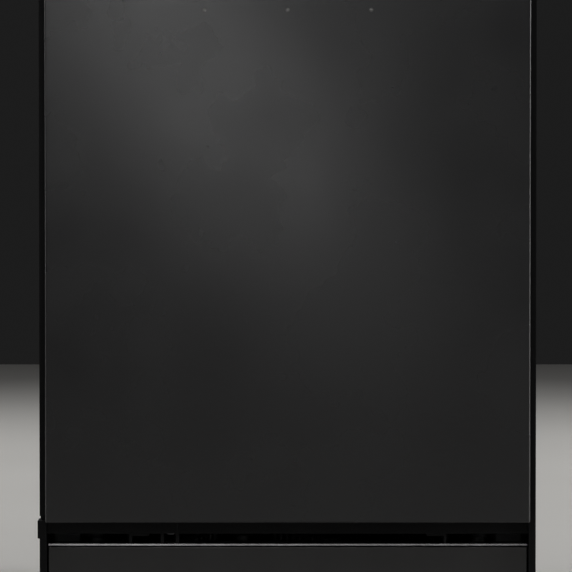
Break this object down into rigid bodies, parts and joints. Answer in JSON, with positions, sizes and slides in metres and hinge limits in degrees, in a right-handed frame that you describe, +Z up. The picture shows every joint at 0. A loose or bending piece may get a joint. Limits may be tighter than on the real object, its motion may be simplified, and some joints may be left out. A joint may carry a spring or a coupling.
{
  "type": "trash compactor",
  "caption": "Built-in kitchen compactor: a screw-driven ram presses rubbish into a bin that rides in a full-height drawer, above a toe panel that opens it.",
  "frame": {"origin": "on the floor, under the middle of the machine's box, handle included", "axes": "+Z up, the front faces -Y, +X to the right of a person who faces the front"},
  "size_m": [0.381, 0.63, 0.87],
  "materials": {
    "front_black": "satin",
    "frame_black": "satin",
    "toe_black": "satin",
    "galvanised": "satin",
    "bright_steel": "satin",
    "motor_enamel": "satin",
    "bronze": "satin",
    "white_nylon": "matte",
    "black_plastic": "matte",
    "bin_grey": "satin",
    "black_rubber": "matte",
    "light_lens": "gloss",
    "circuit_board": "matte"
  },
  "bodies": {
    "cabinet": {"cabinet_shell": "frame_black", "base_pan": "galvanised", "top_cover": "galvanised", "rear_cover": "galvanised", "top_front_rail": "frame_black", "front_crossmember": "frame_black", "rear_crossmember": "galvanised", "latch_plate": "frame_black", "side_bracket": "frame_black", "press_uprights": "galvanised", "press_top_beam": "galvanised", "screw_bearings": "bronze", "drawer_tracks": "frame_black", "pedal_brackets": "galvanised", "fixing_tabs": "galvanised", "cabinet_screws": "bright_steel", "motor_plate": "galvanised", "motor": "motor_enamel", "drive_gear_axle": "bright_steel", "drive_chain": "bright_steel", "control_box": "white_nylon", "fan_housing": "black_plastic", "drawer_switch": "black_plastic", "cord_gland": "black_plastic", "pedal_spring": "bright_steel"},
    "drawer": {"drawer_skin": "front_black", "drawer_liner": "front_black", "drawer_stiffeners": "galvanised", "drawer_gasket": "black_rubber", "handle": "front_black", "console": "black_plastic", "indicator_lights": "light_lens", "indicator_board": "circuit_board", "drawer_carriage": "galvanised", "bin_body": "bin_grey", "bin_side_panel": "bin_grey", "bag_buttons": "black_plastic"},
    "ram": {"ram_box": "galvanised", "ram_platen": "bright_steel", "ram_yoke": "galvanised", "power_nuts": "bronze"},
    "screw_left": {"power_screw_left": "bright_steel"},
    "screw_right": {"power_screw_right": "bright_steel"},
    "gear": {"drive_gear": "bright_steel"},
    "pinion": {"motor_pinion": "bright_steel"},
    "rollers_front": {"front_rollers": "white_nylon"},
    "rollers_rear": {"rear_rollers": "white_nylon"},
    "toe": {"toe_panel": "toe_black"},
    "hook": {"latch_hook": "bright_steel"},
    "start": {"start_button": "black_plastic"},
    "stop": {"stop_button": "black_plastic"},
    "fan_key": {"fan_button": "black_plastic"},
    "lock": {"lock_knob": "black_plastic"},
    "impeller": {"fan_impeller": "white_nylon"},
    "filter": {"filter_cartridge": "black_plastic"},
    "plunger": {"switch_plunger": "white_nylon"},
    "leg_fl": {"leg_front_left": "galvanised"},
    "leg_fr": {"leg_front_right": "galvanised"},
    "leg_rl": {"leg_rear_left": "galvanised"},
    "leg_rr": {"leg_rear_right": "galvanised"}
  },
  "joints": [
    {"name": "drawer_slide", "type": "slide", "parent": "cabinet", "child": "drawer", "axis": [0, -1, 0], "range_m": [0, 0.345]},
    {"name": "drive_gear_spin", "type": "hinge", "parent": "cabinet", "child": "gear", "pos_m": [-0.04, 0.2394, 0.07], "axis": [0, 0, -1], "range_deg": [-16200, 0]},
    {"name": "screw_left_spin", "type": "hinge", "parent": "cabinet", "child": "screw_left", "pos_m": [-0.158, -0.034, 0.4], "axis": [0, 0, -1], "range_deg": [-16200, 0]},
    {"name": "screw_right_spin", "type": "hinge", "parent": "cabinet", "child": "screw_right", "pos_m": [0.158, -0.034, 0.4], "axis": [0, 0, -1], "range_deg": [-16200, 0]},
    {"name": "motor_pinion_spin", "type": "hinge", "parent": "cabinet", "child": "pinion", "pos_m": [0.01, 0.2394, 0.07], "axis": [0, 0, -1], "range_deg": [0, 64800]},
    {"name": "ram_slide", "type": "slide", "parent": "cabinet", "child": "ram", "axis": [0, 0, 1], "range_m": [-0.225, 0]},
    {"name": "front_roller_spin", "type": "hinge", "parent": "cabinet", "child": "rollers_front", "pos_m": [0, -0.211, 0.1156], "axis": [1, 0, 0], "range_deg": [0, 1800]},
    {"name": "rear_roller_spin", "type": "hinge", "parent": "drawer", "child": "rollers_rear", "pos_m": [0, 0.146, 0.1184], "axis": [1, 0, 0], "range_deg": [0, 1800]},
    {"name": "toe_pedal", "type": "hinge", "parent": "cabinet", "child": "toe", "pos_m": [0, -0.12, 0.05], "axis": [1, 0, 0], "range_deg": [0, 5], "stiffness_Nm_per_rad": 4, "springref_deg": -20.05, "deforming": ["pedal_spring"]},
    {"name": "latch_hook_turn", "type": "hinge", "parent": "cabinet", "child": "hook", "pos_m": [-0.09, -0.19, 0.108], "axis": [1, 0, 0], "range_deg": [0, 20]},
    {"name": "start_press", "type": "slide", "parent": "drawer", "child": "start", "axis": [0, 0, -1], "range_m": [0, 0.0012], "stiffness_N_per_m": 700, "springref_m": -0.001},
    {"name": "stop_press", "type": "slide", "parent": "drawer", "child": "stop", "axis": [0, 0, -1], "range_m": [0, 0.0012], "stiffness_N_per_m": 700, "springref_m": -0.001},
    {"name": "fan_press", "type": "slide", "parent": "drawer", "child": "fan_key", "axis": [0, 0, -1], "range_m": [0, 0.0012], "stiffness_N_per_m": 700, "springref_m": -0.001},
    {"name": "lock_turn", "type": "hinge", "parent": "drawer", "child": "lock", "pos_m": [0.06, -0.259, 0.862], "axis": [0, 0, 1], "range_deg": [-90, 0]},
    {"name": "impeller_spin", "type": "hinge", "parent": "cabinet", "child": "impeller", "pos_m": [0.07, 0.265, 0.7108], "axis": [0, 1, 0], "continuous": true},
    {"name": "filter_slide", "type": "slide", "parent": "cabinet", "child": "filter", "axis": [0, -1, 0], "range_m": [0, 0.07]},
    {"name": "plunger_slide", "type": "slide", "parent": "cabinet", "child": "plunger", "axis": [0, -1, 0], "range_m": [0, 0.003]},
    {"name": "leg_fl_turn", "type": "hinge", "parent": "cabinet", "child": "leg_fl", "pos_m": [-0.15, -0.195, 0.02], "axis": [0, 0, 1], "continuous": true},
    {"name": "leg_fr_turn", "type": "hinge", "parent": "cabinet", "child": "leg_fr", "pos_m": [0.15, -0.195, 0.02], "axis": [0, 0, 1], "continuous": true},
    {"name": "leg_rl_turn", "type": "hinge", "parent": "cabinet", "child": "leg_rl", "pos_m": [-0.15, 0.285, 0.02], "axis": [0, 0, 1], "continuous": true},
    {"name": "leg_rr_turn", "type": "hinge", "parent": "cabinet", "child": "leg_rr", "pos_m": [0.15, 0.285, 0.02], "axis": [0, 0, 1], "continuous": true}
  ],
  "couplings": [
    {"joint": "drive_gear_spin", "follows": "ram_slide", "rad_per_m": 1256.6},
    {"joint": "screw_left_spin", "follows": "ram_slide", "rad_per_m": 1256.6},
    {"joint": "screw_right_spin", "follows": "ram_slide", "rad_per_m": 1256.6},
    {"joint": "motor_pinion_spin", "follows": "ram_slide", "rad_per_m": -5026.4},
    {"joint": "front_roller_spin", "follows": "drawer_slide", "rad_per_m": 90.9},
    {"joint": "rear_roller_spin", "follows": "drawer_slide", "rad_per_m": 90.9},
    {"joint": "plunger_slide", "follows": "drawer_slide", "ratio": 0.0086},
    {"joint": "latch_hook_turn", "follows": "toe_pedal", "ratio": 4}
  ]
}
